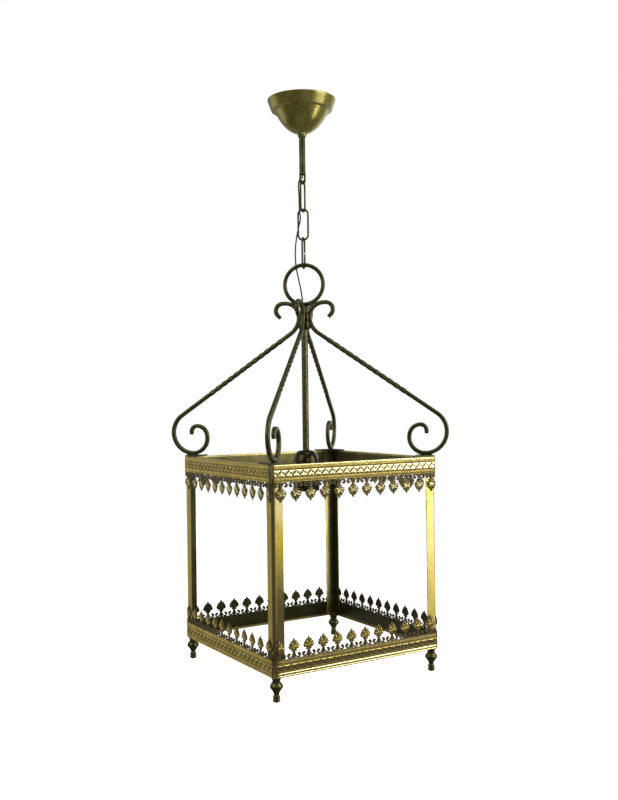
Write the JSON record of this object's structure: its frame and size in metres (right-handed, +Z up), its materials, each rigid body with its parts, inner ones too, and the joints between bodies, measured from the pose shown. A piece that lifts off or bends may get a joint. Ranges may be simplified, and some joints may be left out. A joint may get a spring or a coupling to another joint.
{
  "type": "hanging lantern",
  "caption": "Square hanging lantern of pierced brass bands on corner posts, carried by scrolled iron arms, a ring, a short chain and a stem with a sliding ceiling cup, with a screw lampholder.",
  "frame": {"origin": "Centre of the ceiling plate's upper face, the face that lies on the ceiling.", "axes": "+Z up into the ceiling along the stem, +X to the right seen from the front, -Y out of the front face; the cage's sides are parallel to X and Y."},
  "size_m": [0.3112, 0.3112, 0.862],
  "materials": {
    "zinc_steel": "dull zinc plate",
    "olive_iron": "satin dark olive bronze paint with worn, paler edges",
    "cup_lacquer": "semi-gloss olive brown lacquer",
    "aged_brass": "antiqued, dark in the recesses and bright on the relief",
    "post_brass": "satin, antiqued, dark olive inside",
    "foot_bronze": "dark olive bronze, semi-gloss",
    "holder_bronze": "glossy black bronze",
    "porcelain": "glazed white",
    "bright_brass": "bright rolled sheet",
    "terminal_plastic": "matt off-white",
    "black_flex": "smooth black sheath"
  },
  "bodies": {
    "mount": {"ceiling_plate": "zinc_steel", "stem": "olive_iron", "stem_lock_nut": "zinc_steel", "terminal_block": "terminal_plastic", "flex_lead": "black_flex", "flex_run_1": "black_flex"},
    "cup": {"ceiling_cup": "cup_lacquer", "grub_screw": "zinc_steel"},
    "link_a": {"link_a": "olive_iron", "flex_run_2": "black_flex"},
    "link_b": {"link_b": "olive_iron", "flex_run_3": "black_flex"},
    "link_c": {"link_c": "olive_iron", "flex_run_4": "black_flex"},
    "lantern": {"ring": "olive_iron", "arm_front_left": "olive_iron", "arm_front_right": "olive_iron", "arm_back_right": "olive_iron", "arm_back_left": "olive_iron", "gusset_front_left": "olive_iron", "gusset_front_right": "olive_iron", "gusset_back_right": "olive_iron", "gusset_back_left": "olive_iron", "post_front_left": "post_brass", "post_front_right": "post_brass", "post_back_right": "post_brass", "post_back_left": "post_brass", "foot_front_left": "foot_bronze", "foot_front_right": "foot_bronze", "foot_back_right": "foot_bronze", "foot_back_left": "foot_bronze", "upper_band_front": "aged_brass", "upper_band_right": "aged_brass", "upper_band_back": "aged_brass", "upper_band_left": "aged_brass", "lower_band_front": "aged_brass", "lower_band_right": "aged_brass", "lower_band_back": "aged_brass", "lower_band_left": "aged_brass", "centre_tube": "olive_iron", "tube_nut": "zinc_steel", "holder_cap": "holder_bronze", "holder_shell": "holder_bronze", "holder_core": "porcelain", "screw_shell": "bright_brass", "centre_contact": "bright_brass", "flex_drop": "black_flex"}
  },
  "joints": [
    {"name": "cup_slide", "type": "slide", "parent": "mount", "child": "cup", "axis": [0, 0, -1], "range_m": [0, 0.05]},
    {"name": "link_a_swing", "type": "hinge", "parent": "mount", "child": "link_a", "pos_m": [0, 0, -0.1281], "axis": [-0.5664, 0.8241, 0], "range_deg": [-25, 25], "deforming": ["flex_run_1"]},
    {"name": "link_b_swing", "type": "hinge", "parent": "link_a", "child": "link_b", "pos_m": [0, 0, -0.1711], "axis": [0.8241, 0.5664, 0], "range_deg": [-25, 25], "deforming": ["flex_run_2"]},
    {"name": "link_c_swing", "type": "hinge", "parent": "link_b", "child": "link_c", "pos_m": [0, 0, -0.2143], "axis": [-0.7071, 0.7071, 0], "range_deg": [-25, 25], "deforming": ["flex_run_3"]},
    {"name": "lantern_swing", "type": "hinge", "parent": "link_c", "child": "lantern", "pos_m": [0, 0, -0.2575], "axis": [0.7071, 0.7071, 0], "range_deg": [-25, 25], "deforming": ["flex_run_4"]}
  ]
}
